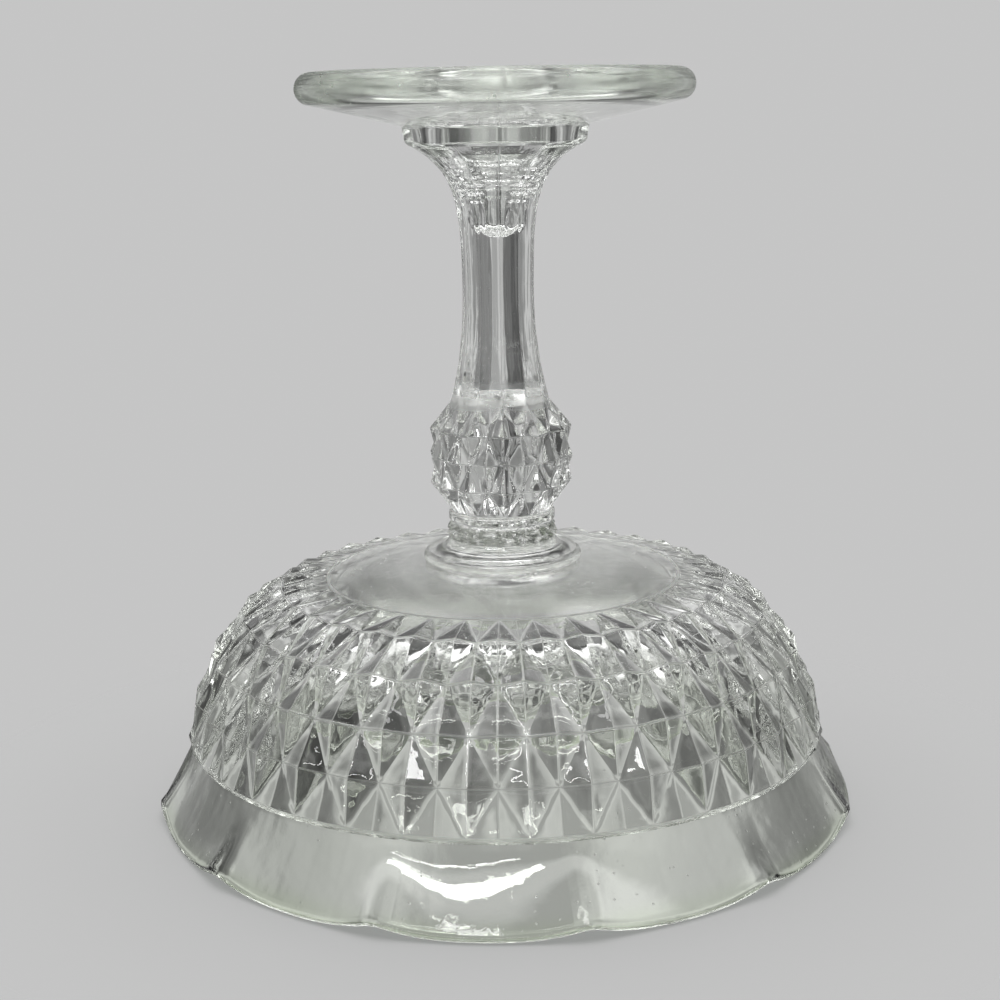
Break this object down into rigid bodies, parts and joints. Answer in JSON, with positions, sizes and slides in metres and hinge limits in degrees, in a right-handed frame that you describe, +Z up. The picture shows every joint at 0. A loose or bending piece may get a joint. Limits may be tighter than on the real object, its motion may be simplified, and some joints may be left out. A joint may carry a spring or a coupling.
{
  "type": "compote dish",
  "caption": "Clear pressed-glass compote dish: a diamond-point bowl with a scalloped rim on a panelled, knopped stem and a round foot, for serving fruit or sweets.",
  "frame": {"origin": "centre of the foot's underside, on the surface the dish stands on", "axes": "+Z up along the axis of the foot, stem and bowl"},
  "size_m": [0.1754, 0.1754, 0.182],
  "materials": {
    "clear_glass": "polished"
  },
  "bodies": {
    "root": {"foot": "clear_glass", "stem": "clear_glass", "wafer": "clear_glass", "bowl": "clear_glass"}
  },
  "joints": []
}
